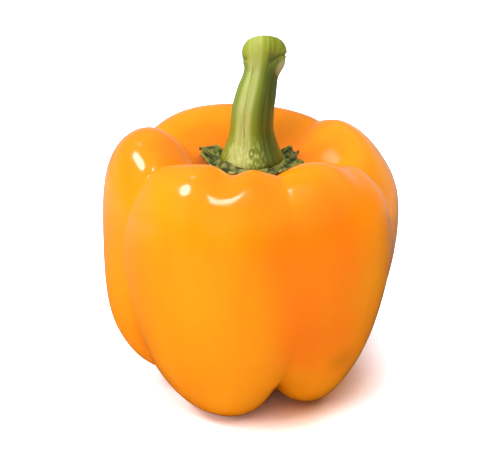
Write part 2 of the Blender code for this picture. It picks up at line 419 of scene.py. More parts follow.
@dataclass
class Effects:
    """The node groups that more than one finish uses."""

    patches: bpy.types.NodeTree = field(default_factory=patches_group)
    relief: bpy.types.NodeTree = field(default_factory=relief_group)


@dataclass(frozen=True)
class Patches:
    """Soft patches on a finish: how fine and how broken up they are, and over which values they fade in."""

    scale: float
    detail: float
    low: float = 0.4
    high: float = 0.6

    def mask(self, recipe: Recipe, effects: Effects, place: Socket) -> Socket:
        """Lays out the patches' mask.

        Args:
            recipe: The material that it is in.
            effects: The shared node groups.
            place: The point on the piece.

        Returns:
            The socket with the mask.
        """
        node = recipe.group(effects.patches, place=place, scale=self.scale, detail=self.detail,
                            to=self.high)
        recipe.feed(node, "From", self.low)
        return node.outputs["Mask"]


@dataclass(frozen=True)
class Relief:
    """The fine relief of a finish: how fine it is, and how strong its bumps and its swell are."""

    scale: float
    depth: float
    swell: float

    def normal(self, recipe: Recipe, effects: Effects, place: Socket) -> Socket:
        """Lays out the relief.

        Args:
            recipe: The material that it is in.
            effects: The shared node groups.
            place: The point on the piece.

        Returns:
            The socket with the normal.
        """
        inputs = {"place": place, "scale": self.scale, "depth": self.depth, "swell": self.swell}
        return recipe.group(effects.relief, **inputs).outputs["Normal"]


def new_material(name: str, constants: dict[str, object]
                 ) -> tuple[bpy.types.Material, Recipe, bpy.types.Node]:
    """Starts a material.

    Args:
        name: The material's name.
        constants: What is the same all over the surface, by its name on the surface node.

    Returns:
        The material, its recipe and its surface node, already linked to the output.
    """
    material = bpy.data.materials.new(name)
    material.use_nodes = True
    recipe = Recipe(material.node_tree)
    surface = recipe.add("BsdfPrincipled", constants)
    recipe.add("OutputMaterial", {"Surface": surface.outputs["BSDF"]})
    return material, recipe, surface


GOLDEN: Colour = (0.95, 0.325, 0.004, 1.0)
DEEP: Colour = (0.92, 0.150, 0.003, 1.0)
# dull brown: a real blemish, and the painted shadow of the stem on the back lobe
BLEMISH_AND_SHADOW: Colour = (0.56, 0.165, 0.002, 1.0)


@dataclass(frozen=True)
class ToneAndShadingPatch:
    """A soft patch of another colour, some the skin's own ripeness, others painted light and painted shade:
    its middle, reach and stretch upwards in millimetres.
    """

    colour: Colour
    strength: float
    middle: Point
    reach: float
    stretch: float = 1.0

    def mask(self, recipe: Recipe, place: Socket) -> Socket:
        """Lays out the patch's mask.

        Args:
            recipe: The material that it is in.
            place: The point on the piece in metres.

        Returns:
            The socket with the mask, at most the patch's strength.
        """
        middle = [value * MM for value in self.middle]
        off = recipe.add("VectorMath", {0: place, 1: middle}, operation="SUBTRACT").outputs[0]
        off = recipe.add("VectorMath", {0: off, 1: (1.0, 1.0, 1 / self.stretch)}, operation="MULTIPLY")
        away = recipe.add("VectorMath", {0: off.outputs[0]}, operation="LENGTH").outputs["Value"]
        return recipe.ramp(away, self.reach * MM, 0.0, 0.0, self.strength)


@dataclass(frozen=True)
class OrangeSkin:
    """Ripe waxy skin: clear gloss over orange flesh, redder in the grooves and golden on the crests, partly
    its own tone and partly painted shade and painted light.
    """

    orange: Colour = (0.93, 0.220, 0.001, 1.0)
    scar_brown: Colour = (0.16, 0.085, 0.03, 1.0)
    # patches of the skin's own tone, with painted light and painted shade
    tone_and_shading_patches: tuple[ToneAndShadingPatch, ...] = (
        # DEEP: painted shade in the valley, on the right side and on the tops
        ToneAndShadingPatch(DEEP, 0.6, (12.0, -39.0, 40.0), 13.0, 2.4),
        ToneAndShadingPatch(DEEP, 0.6, (19.0, -35.0, 62.0), 17.0),
        ToneAndShadingPatch(DEEP, 0.5, (6.0, -41.0, 56.0), 12.0, 1.3),
        ToneAndShadingPatch(DEEP, 0.5, (23.0, -33.0, 30.0), 20.0, 1.4),
        ToneAndShadingPatch(DEEP, 0.5, (12.0, -36.0, 24.0), 12.0, 1.4),
        ToneAndShadingPatch(DEEP, 0.4, (23.0, -35.0, 50.0), 14.0),
        ToneAndShadingPatch(DEEP, 0.4, (2.0, -33.0, 70.0), 10.0),
        ToneAndShadingPatch(DEEP, 0.35, (-27.0, -11.0, 75.0), 18.0),
        ToneAndShadingPatch(DEEP, 0.35, (-10.0, -30.0, 72.0), 16.0),
        # GOLDEN: painted light on the front, the left side and the bottom; the right back lobe's gold is
        # partly its own tone
        ToneAndShadingPatch(GOLDEN, 0.7, (-12.0, -41.0, 42.0), 17.0, 1.5),
        ToneAndShadingPatch(GOLDEN, 0.5, (-6.0, -37.0, 20.0), 20.0),
        ToneAndShadingPatch(GOLDEN, 0.8, (-6.0, -34.0, 8.0), 14.0),
        ToneAndShadingPatch(GOLDEN, 0.7, (-34.0, -17.0, 35.0), 18.0),
        ToneAndShadingPatch(GOLDEN, 1.0, (29.0, 3.0, 69.0), 24.0),
        ToneAndShadingPatch(GOLDEN, 0.5, (33.0, -25.0, 40.0), 14.0, 1.6),
        # painted shadow of the stem on the back lobe's wall
        ToneAndShadingPatch(BLEMISH_AND_SHADOW, 1.0, (11.5, 19.5, 70.0), 15.0),
        # a real dull blemish low on the right front lobe
        ToneAndShadingPatch(BLEMISH_AND_SHADOW, 0.5, (24.2, -27.7, 19.0), 6.5),
    )
    broad: Patches = Patches(26.0, 1.5)
    broad_golden: float = 0.35
    streaks: Patches = Patches(110.0, 3.0)
    streaks_golden: float = 0.22
    streaks_squeeze: float = 0.15
    fine: Patches = Patches(150.0, 3.0)
    fine_deep: float = 0.10
    # golden on the crests: partly the skin's own tone, partly painted light
    crest: Span = (-0.1, -0.8)
    crest_tone_and_painted_light: float = 0.3
    # redder in the grooves: partly the skin's own tone, partly painted shade
    groove: Span = (0.1, 1.0)
    groove_tone_and_painted_shade: float = 0.35
    roughness: float = 0.45
    scar_roughness: float = 0.8
    gloss: float = 0.02
    coat: float = 0.9
    coat_roughness: float = 0.13
    coat_ior: float = 1.45
    glow: float = 0.12
    glow_reach: Point = (1.0, 0.35, 0.08)
    glow_mm: float = 3.0
    relief: Relief = Relief(1400.0, 0.05, 0.05)

    def material(self, effects: Effects) -> bpy.types.Material:
        """Builds the skin's material.

        Args:
            effects: The shared node groups.

        Returns:
            The material.
        """
        material, recipe, surface = new_material("orange skin", {
            "Specular IOR Level": self.gloss,
            "Coat Weight": self.coat,
            "Coat Roughness": self.coat_roughness,
            "Coat IOR": self.coat_ior,
            "Subsurface Weight": self.glow,
            "Subsurface Radius": self.glow_reach,
            "Subsurface Scale": self.glow_mm * MM,
        })
        place = recipe.add("TexCoord").outputs["Object"]
        hollow, scar = recipe.read(Mark.HOLLOW), recipe.read(Mark.SCAR)
        broad = self.broad.mask(recipe, effects, place)
        streaks = self.streaks.mask(recipe, effects, recipe.drawn_out(place, self.streaks_squeeze))
        fine = self.fine.mask(recipe, effects, place)
        colour = recipe.blend(recipe.times(broad, self.broad_golden), self.orange, GOLDEN)
        colour = recipe.blend(recipe.times(streaks, self.streaks_golden), colour, GOLDEN)
        colour = recipe.blend(recipe.times(fine, self.fine_deep), colour, DEEP)
        # painted light on the crests and painted shade in the grooves, over the skin's own tone
        colour = recipe.blend(recipe.ramp(hollow, *self.crest, 0.0, self.crest_tone_and_painted_light), colour, GOLDEN)
        colour = recipe.blend(recipe.ramp(hollow, *self.groove, 0.0, self.groove_tone_and_painted_shade), colour, DEEP)
        # the patches: the skin's own tone, painted light and painted shade
        for tone_patch in self.tone_and_shading_patches:
            colour = recipe.blend(tone_patch.mask(recipe, place), colour, tone_patch.colour)
        recipe.feed(surface, "Base Color", recipe.blend(scar, colour, self.scar_brown))
        recipe.feed(surface, "Roughness", recipe.ramp(scar, 0.0, 1.0, self.roughness, self.scar_roughness))
        recipe.feed(surface, "Normal", self.relief.normal(recipe, effects, place))
        return material


@dataclass(frozen=True)
class DriedLeaf:
    """Half dried leaf tissue of the calyx: dull dark green with brown patches, a thin pale rim and painted
    shade in its creases.
    """

    green: Colour = (0.215, 0.230, 0.035, 1.0)
    dark: Colour = (0.020, 0.032, 0.008, 1.0)
    brown: Colour = (0.150, 0.105, 0.040, 1.0)
    pale: Colour = (0.38, 0.42, 0.10, 1.0)
    broad: Patches = Patches(340.0, 4.0)
    dry: Patches = Patches(420.0, 4.0, 0.52, 0.75)
    dry_brown: float = 0.7
    # painted shade in the creases
    crease: Span = (0.0, 0.9)
    crease_painted_shade: float = 0.8
    roughness: Span = (0.58, 0.78)
    relief: Relief = Relief(2600.0, 0.5, 0.35)

    def material(self, effects: Effects) -> bpy.types.Material:
        """Builds the calyx's material.

        Args:
            effects: The shared node groups.

        Returns:
            The material.
        """
        material, recipe, surface = new_material("dried leaf", {})
        place = recipe.add("TexCoord").outputs["Object"]
        hollow, rim = recipe.read(Mark.HOLLOW), recipe.read(Mark.EDGE)
        broad = self.broad.mask(recipe, effects, place)
        dry = self.dry.mask(recipe, effects, place)
        colour = recipe.blend(broad, self.green, self.dark)
        colour = recipe.blend(recipe.times(dry, self.dry_brown), colour, self.brown)
        # painted shade in the creases
        colour = recipe.blend(recipe.ramp(hollow, *self.crease, 0.0, self.crease_painted_shade), colour, self.dark)
        recipe.feed(surface, "Base Color", recipe.blend(rim, colour, self.pale))
        recipe.feed(surface, "Roughness", recipe.ramp(broad, 0.0, 1.0, *self.roughness))
        recipe.feed(surface, "Normal", self.relief.normal(recipe, effects, place))
        return material


@dataclass(frozen=True)
class Side:
    """A side of the stem: its azimuth, up to how many degrees off it is full and from where it is none."""

    azimuth: float
    full: float
    none: float

    def mask(self, recipe: Recipe, fibre: Socket) -> Socket:
        """Lays out the side's mask.

        Args:
            recipe: The material that it is in.
            fibre: The point on the straight stem.

        Returns:
            The socket with the mask.
        """
        direction = (sin(radians(self.azimuth)), -cos(radians(self.azimuth)), 0.0)
        towards = recipe.along(fibre, direction)
        return recipe.ramp(towards, cos(radians(self.none)), cos(radians(self.full)))


@dataclass(frozen=True)
class GreenStem:
    """Green stem: painted light on its left edge, a painted sheen to the front left, painted shade on its
    right and in its furrows, fine fibres and a flecked foot.

    Its spans of height are on the straight stem, in the unit that the fibre mark has.
    """

    green: Colour = (0.180, 0.260, 0.014, 1.0)
    # olive: painted light on the left edge, where the light from the left grazes it and shines through
    olive: Colour = (0.190, 0.240, 0.002, 1.0)
    # pale: a painted sheen on the front left
    pale: Colour = (0.410, 0.450, 0.130, 1.0)
    # painted shade on the right side and in the furrows
    shaded: Colour = (0.060, 0.085, 0.007, 1.0)
    head: Colour = (0.300, 0.320, 0.008, 1.0)
    fleck: Colour = (0.48, 0.54, 0.18, 1.0)
    torn: Colour = (0.38, 0.36, 0.13, 1.0)
    # the cork ring's dry colour, also used as painted shade in the crevice under the head
    scar: Colour = (0.09, 0.11, 0.012, 1.0)
    painted_light_side: Side = Side(-84.0, 10.0, 34.0)
    painted_sheen_side: Side = Side(-27.0, 13.0, 30.0)
    shaded_side: Side = Side(48.0, 16.0, 46.0)
    flecked_side: Side = Side(-24.0, 18.0, 60.0)
    fibres: Patches = Patches(9.0, 4.0)
    fibres_squeeze: float = 0.05
    sheen_between_fibres: float = 0.65
    shaded_between_fibres: float = 0.75
    furrow: Span = (0.10, 0.8)
    furrow_painted_shade: float = 0.75
    head_span: Span = (4.3, 5.2)
    rays: Patches = Patches(16.0, 2.0)
    head_on_rays: Span = (0.9, 0.35)
    flecks: Patches = Patches(11.0, 5.0, 0.42, 0.65)
    flecks_squeeze: float = 0.4
    flecks_span: Span = (1.7, 0.7)
    flecks_share: float = 0.9
    satin_span: Span = (4.2, 5.0)
    roughness: Span = (0.42, 0.64)
    gloss: float = 0.7
    relief: Relief = Relief(1800.0, 0.25, 0.15)

    def material(self, effects: Effects) -> bpy.types.Material:
        """Builds the stem's material.

        Args:
            effects: The shared node groups.

        Returns:
            The material.
        """
        material, recipe, surface = new_material("green stem", {"Specular IOR Level": self.gloss})
        place = recipe.add("TexCoord").outputs["Object"]
        fibre = recipe.read(Mark.FIBRE, "Vector")
        height = recipe.part_of(fibre, "Z")
        drawn_out = recipe.drawn_out(fibre, self.fibres_squeeze)
        fibres = self.fibres.mask(recipe, effects, drawn_out)
        # painted light on the left edge
        colour = recipe.blend(self.painted_light_side.mask(recipe, fibre), self.green, self.olive)
        # painted sheen on the front left and painted shade on the right, each broken by the fibres
        for side, between, tint in ((self.painted_sheen_side, self.sheen_between_fibres, self.pale),
                                    (self.shaded_side, self.shaded_between_fibres, self.shaded)):
            mask = recipe.times(side.mask(recipe, fibre), recipe.ramp(fibres, 0.0, 1.0, between, 1.0))
            colour = recipe.blend(mask, colour, tint)
        # painted shade in the furrows
        dark = recipe.ramp(recipe.read(Mark.HOLLOW), *self.furrow, 0.0, self.furrow_painted_shade)
        colour = recipe.blend(dark, colour, self.shaded)
        rays = self.rays.mask(recipe, effects, drawn_out)
        crown = recipe.times(recipe.ramp(height, *self.head_span),
                             recipe.ramp(rays, 0.0, 1.0, *self.head_on_rays))
        colour = recipe.blend(crown, colour, self.head)
        flecks = self.flecks.mask(recipe, effects, recipe.drawn_out(fibre, self.flecks_squeeze))
        flecked = recipe.times(recipe.ramp(height, *self.flecks_span),
                               self.flecked_side.mask(recipe, fibre))
        flecked = recipe.times(flecked, recipe.ramp(flecks, 0.0, 1.0, 0.0, self.flecks_share))
        colour = recipe.blend(flecked, colour, self.fleck)
        # the cork ring's dry colour, and painted shade in the crevice
        colour = recipe.blend(recipe.read(Mark.SCAR), colour, self.scar)
        recipe.feed(surface, "Base Color", recipe.blend(recipe.read(Mark.EDGE), colour, self.torn))
        recipe.feed(surface, "Roughness", recipe.ramp(height, *self.satin_span, *self.roughness))
        recipe.feed(surface, "Normal", self.relief.normal(recipe, effects, place))
        return material


def dress(piece: Piece, material: bpy.types.Material, node: str) -> None:
    """Gives a finished piece its material and smooth shading, hangs it on the body and hides the node that
    it stands for.

    Args:
        piece: The piece, which rides on the one body.
        material: Its finish.
        node: The CAD node that it stands for.
    """
    piece.data.materials.clear()
    piece.data.materials.append(material)
    pick(piece)
    bpy.ops.object.shade_smooth()
    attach(piece, BODY)
    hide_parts(node)


def keep_inside(piece: Piece, node: str) -> None:
    """Holds a piece inside the box of the node that it stands for."""
    low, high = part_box(node)
    move_points(piece, np.clip(points_of(piece), np.array(low), np.array(high)))


@dataclass(frozen=True)
class Bulge:
    """A soft swelling of the fruit's wall: its middle, its reach and its height in millimetres."""

    middle: Point
    reach: float
    out: float

    def push(self, places: np.ndarray) -> np.ndarray:
        """How far out it pushes each place, in metres."""
        away = np.linalg.norm(places / MM - np.array(self.middle), axis=1)
        return self.out * MM * np.exp(-((away / self.reach) ** 2))


@dataclass
class Fruit:
    """The fleshy fruit with its skin."""

    name: str = "pepper_fruit"
    node: str = "fruit"
    merge_mm: float = 0.01
    levels: int = 2
    sole_mm: float = 0.25
    wave_mm: float = 0.10
    wave_length_mm: float = 17.0
    bulges: tuple[Bulge, ...] = (
        Bulge((-25.0, -19.6, 69.5), 7.0, 0.9),
        Bulge((12.0, 21.0, 73.5), 9.0, 0.9),
        Bulge((-20.0, 20.0, 73.0), 9.0, 0.6),
        Bulge((13.6, -21.5, 72.6), 8.5, 1.4),
        Bulge((32.8, -15.8, 61.8), 8.0, 1.7),
        Bulge((27.5, -17.0, 69.5), 7.0, -1.3),
        Bulge((9.5, 21.5, 71.5), 5.0, -0.5),
    )
    scar_radius_mm: float = 3.4
    scar_floor_mm: float = 0.5
    scar_dip_mm: float = 0.9
    button_radius_mm: float = 1.5
    button_height_mm: float = 0.9
    button_top_part: float = 0.5
    dry_part: float = 0.8
    hollow_rounds: int = 30
    hollow_full_mm: float = 2.2

    def build(self, material: bpy.types.Material) -> Piece:
        """Copies the fruit's solid, rounds it, adds its small forms and dresses it.

        Args:
            material: The skin's material.

        Returns:
            The finished piece.
        """
        piece = self.copy_of_solid()
        mark_hollows(piece, self.hollow_rounds, self.hollow_full_mm * MM)
        subdivide(piece, self.levels)
        self.swell(piece)
        self.press_feet(piece)
        self.scar(piece)
        keep_inside(piece, self.node)
        dress(piece, material, self.node)
        return piece

    def copy_of_solid(self) -> Piece:
        """Copies the fruit's node, with its corners merged and its triangles joined to quads.

        Returns:
            The copy, free of the frame's own properties.
        """
        pick(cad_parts[self.node])
        bpy.ops.object.duplicate()
        piece = bpy.context.object
        piece.name = piece.data.name = self.name
        piece.parent = None
        for key in list(piece.keys()):      # what the frame wrote on the node stays on the node
            del piece[key]
        with editing(piece):
            bpy.ops.mesh.remove_doubles(threshold=self.merge_mm * MM)
            bpy.ops.mesh.tris_convert_to_quads(face_threshold=pi, shape_threshold=pi)
        return piece

    def swell(self, piece: Piece) -> None:
        """Adds the slow unevenness that a grown wall has, inwards, and its few bulges.

        Args:
            piece: The rounded fruit.
        """
        places = points_of(piece)
        x, y, z = places.T / (self.wave_length_mm * MM) * tau
        # three crossing waves, two of them bent by another, so that no two swells are alike
        wave = (np.sin(x + 0.7 * np.sin(0.6 * z)) + np.sin(1.3 * y + 1.1 * np.sin(0.8 * x))
                + np.sin(0.45 * z + y))
        out = (wave / 3 - 1) / 2 * self.wave_mm * MM + sum(bulge.push(places) for bulge in self.bulges)
        move_points(piece, places + normals_of(piece) * out[:, None])

    def press_feet(self, piece: Piece) -> None:
        """Presses the feet flat where the pepper stands.

        Args:
            piece: The rounded fruit.
        """
        places = points_of(piece)
        places[:, 2] = np.where(places[:, 2] < self.sole_mm * MM, 0.0, places[:, 2])
        move_points(piece, places)

    def scar(self, piece: Piece) -> None:
        """Dips the blossom end and raises a dry button in the dip.

        Args:
            piece: The rounded fruit.
        """
        places = points_of(piece)
        low_side = normals_of(piece)[:, 2] < 0
        away = np.hypot(places[:, 0], places[:, 1]) / MM
        scar, button = self.scar_radius_mm, self.button_radius_mm
        dip = smooth_step(scar, self.scar_floor_mm, away) * self.scar_dip_mm
        raised = smooth_step(button, button * self.button_top_part, away) * self.button_height_mm
        places[:, 2] += np.where(low_side, dip - raised, 0.0) * MM
        move_points(piece, places)
        dry = smooth_step(scar * self.dry_part, button * self.dry_part, away)
        mark(piece, Mark.SCAR, np.where(low_side, dry, 0.0))


@dataclass(frozen=True)
class Tooth:
    """A tooth of the calyx: where it points, how far it reaches out and how far it curls up.

    Its place and half width are in degrees, its reach and its curl in millimetres.
    """

    at: float
    reach: float
    half_width: float
    curl: float


@dataclass(frozen=True)
class Notch:
    """A run of small notches round the calyx's edge: their depth in millimetres, their number and phase."""

    depth: float
    number: int
    phase: float

    def cut(self, turn: np.ndarray) -> np.ndarray:
        """How far out the edge lies at each turn in radians, in millimetres."""
        return self.depth * np.sin(self.number * turn + self.phase)


@dataclass
class Calyx:
    """The dried calyx: a ragged, crumpled sheet on the floor of the hollow, curled up at its edge."""

    name: str = "pepper_calyx"
    node: str = "calyx"
    cells: int = 80
    reach_mm: float = 11.3
    dish_from_mm: float = 8.6
    dish_curl_mm: float = 0.9
    thick_mm: float = 0.7
    gap_mm: float = 0.7
    crumple_from_mm: float = 7.8
    crumple_full_mm: float = 9.8
    crumple_mm: float = 0.9
    crumples_to_the_mm: float = 0.36
    wrinkle_mm: float = 0.55
    wrinkles_to_the_mm: float = 1.2
    vein_mm: float = 0.4
    half_veins: float = 5.5
    vein_sharpness: int = 8
    collar_mm: float = 1.8
    collar_from_mm: float = 10.6
    collar_full_mm: float = 8.4
    collar_rise: float = 0.6
    collar_rise_at: float = -48.0
    collar_rise_width: float = 26.0
    rim_from_part: float = 0.95
    rim_patches_to_the_mm: float = 0.3
    rim_patches: Span = (-0.15, 0.25)
    rim_least: float = 0.25
    bared_from: Span = (-125.0, -105.0)
    bared_to: Span = (5.0, -20.0)
    hollow_rounds: int = 14
    hollow_full_mm: float = 0.14
    notches: tuple[Notch, ...] = (
        Notch(0.3, 11, 1.0),
        Notch(0.25, 17, 2.3),
        Notch(0.22, 29, 0.7),
    )
    nibble: Notch = Notch(0.16, 43, 0.0)
    nibbled_parts: Notch = Notch(1.0, 5, 1.0)
    tooth_point: float = 1.2
    teeth: tuple[Tooth, ...] = (
        Tooth(-138.0, 0.9, 17.0, 0.4),
        Tooth(-111.0, 4.8, 20.0, 1.2),
        Tooth(-127.0, 1.6, 12.0, 0.6),
        Tooth(-84.0, 2.4, 20.0, 0.8),
        Tooth(-55.0, 0.7, 16.0, 0.3),
        Tooth(-30.0, 0.3, 12.0, 0.8),
        Tooth(14.0, 1.4, 15.0, 0.4),
        Tooth(42.0, 2.4, 18.0, 0.2),
        Tooth(82.0, 3.7, 20.0, 0.5),
        Tooth(101.0, 1.4, 13.0, 1.8),
        Tooth(118.0, 1.6, 14.0, 2.8),
        Tooth(150.0, 2.4, 16.0, 0.3),
        Tooth(183.0, 3.0, 18.0, 0.5),
    )

    def build(self, fruit: Piece, material: bpy.types.Material) -> Piece:
        """Models the calyx on the fruit and dresses it.

        Args:
            fruit: The piece that it lies on.
            material: The dried leaf's material.

        Returns:
            The finished piece.
        """
        piece = self.flat_disc()
        self.drape(piece, fruit)
        modify(piece, "SOLIDIFY", thickness=self.thick_mm * MM, offset=-1.0)
        subdivide(piece, 1)
        keep_inside(piece, self.node)
        mark_hollows(piece, self.hollow_rounds, self.hollow_full_mm * MM)
        dress(piece, material, self.node)
        return piece

    def flat_disc(self) -> Piece:
        """Pulls a square grid round to a disc of radius 1, so that no point of it is a pole.

        Returns:
            The flat disc.
        """
        deselect_everything()
        bpy.ops.mesh.primitive_grid_add(x_subdivisions=self.cells, y_subdivisions=self.cells, size=2.0)
        piece = bpy.context.object
        piece.name = piece.data.name = self.name
        square = points_of(piece)
        x, y = square[:, 0], square[:, 1]
        part = np.maximum(np.abs(x), np.abs(y))
        lengthwise = np.abs(x) >= np.abs(y)
        along, across = np.where(lengthwise, x, y), np.where(lengthwise, y, x)
        turn = np.divide(across, along, out=np.zeros_like(along), where=part > 0) * pi / 4
        turn = np.where(lengthwise, turn, pi / 2 - turn)
        round_places = np.stack([along * np.cos(turn), along * np.sin(turn), np.zeros_like(x)], -1)
        move_points(piece, np.where(part[:, None] > 0, round_places, 0.0))
        return piece

    def edge(self, azimuth: np.ndarray) -> tuple[np.ndarray, np.ndarray]:
        """Works out the calyx's ragged edge.

        Args:
            azimuth: Where it is wanted.

        Returns:
            How far the calyx reaches there, and how far it curls up, in millimetres.
        """
        turn = np.radians(azimuth)
        reach = self.reach_mm + sum(notch.cut(turn) for notch in self.notches)
        reach += self.nibble.cut(turn) * self.nibbled_parts.cut(turn)
        curl = np.full_like(reach, self.dish_curl_mm)
        for tooth in self.teeth:
            share = np.clip(1 - np.abs(turned_from(azimuth, tooth.at)) / tooth.half_width, 0, 1)
            reach += tooth.reach * share**self.tooth_point
            curl += tooth.curl * share
        return reach, curl

    def drape(self, piece: Piece, fruit: Piece) -> None:
        """Lays the disc on the fruit, curls its edge up, crumples it and marks its pale rim.

        Args:
            piece: The flat disc.
            fruit: The piece that it lies on.
        """
        flat = points_of(piece)
        part = np.hypot(flat[:, 0], flat[:, 1])
        azimuth = azimuth_of(flat)
        reach, curl = self.edge(azimuth)
        radius, turn = part * reach, np.radians(azimuth)
        x = radius * np.sin(turn) + STEM_PLACE_MM[0]
        y = -radius * np.cos(turn) + STEM_PLACE_MM[1]
        off = smooth_step(0.0, 1.0, (radius - self.dish_from_mm) / (reach - self.dish_from_mm))
        spots = np.stack([x, y, np.zeros_like(x)], -1)
        # each noise is read well away from the others, so that they have nothing in common
        crumple = (grain(spots, self.crumples_to_the_mm, 2) * self.crumple_mm
                   + grain(spots + 40.0, self.wrinkles_to_the_mm, 3) * self.wrinkle_mm)
        veins = np.abs(np.sin(turn * self.half_veins + 0.4)) ** self.vein_sharpness * self.vein_mm
        freed = smooth_step(self.crumple_from_mm, self.crumple_full_mm, radius)
        lift = curl * off + (crumple + veins) * freed * (0.5 + 0.5 * off)
        floor = np.array([self.height_on(fruit, px, py) for px, py in zip(x, y)])
        collar = self.collar_mm * smooth_step(self.collar_from_mm, self.collar_full_mm, radius)
        risen = turned_from(azimuth, self.collar_rise_at) / self.collar_rise_width
        collar *= 1 + self.collar_rise * np.exp(-(risen**2))
        z = floor + self.gap_mm + self.thick_mm + collar + np.maximum(lift, 0.0)
        move_points(piece, np.stack([x, y, z], -1) * MM)
        bared = smooth_step(*self.bared_from, azimuth) * smooth_step(*self.bared_to, azimuth)
        patches = smooth_step(*self.rim_patches, grain(spots + 90.0, self.rim_patches_to_the_mm))
        rim = smooth_step(self.rim_from_part, 1.0, part)
        mark(piece, Mark.EDGE, rim * patches * (self.rim_least + (1 - self.rim_least) * bared))

    @staticmethod
    def height_on(fruit: Piece, x: float, y: float) -> float:
        """The height of the fruit's upper side over a point, all in millimetres."""
        found, place, _, _ = fruit.ray_cast(Vector((x * MM, y * MM, 1.0)), Vector((0.0, 0.0, -1.0)))
        return place.z / MM if found else 0.0


@dataclass(frozen=True)
class Furrow:
    """A furrow along the stem: its azimuth at the foot and at the head, its half width and its depth.

    The first three are in degrees, the depth is in millimetres.
    """

    foot_at: float
    head_at: float
    half_width: float
    depth: float

    def cut(self, azimuth: np.ndarray, height: np.ndarray, shaft: Span) -> np.ndarray:
        """How deep the furrow is at each place of the straight stem, whose shaft spans two heights."""
        middle = np.interp(height, shaft, (self.foot_at, self.head_at))
        return self.depth * np.exp(-((turned_from(azimuth, middle) / self.half_width) ** 2))


@dataclass(frozen=True)
class Spot:
    """A soft round patch on the straight stem: its azimuth and height, how wide and how tall it is.

    The azimuth and the width are in degrees, the heights in millimetres.
    """

    at: float
    level: float
    wide: float
    tall: float

    def mask(self, azimuth: np.ndarray, height: np.ndarray) -> np.ndarray:
        """1 in the patch's middle, 0 well away from it."""
        off, above = turned_from(azimuth, self.at), height - self.level
        return np.exp(-(off / self.wide) ** 2 - (above / self.tall) ** 2)


@dataclass(frozen=True)
class StemRing:
    """A ring of the stem in millimetres: its middle, its radius and how far it leans back in degrees."""

    x: float
    y: float
    z: float
    radius: float
    lean: float = 0.0


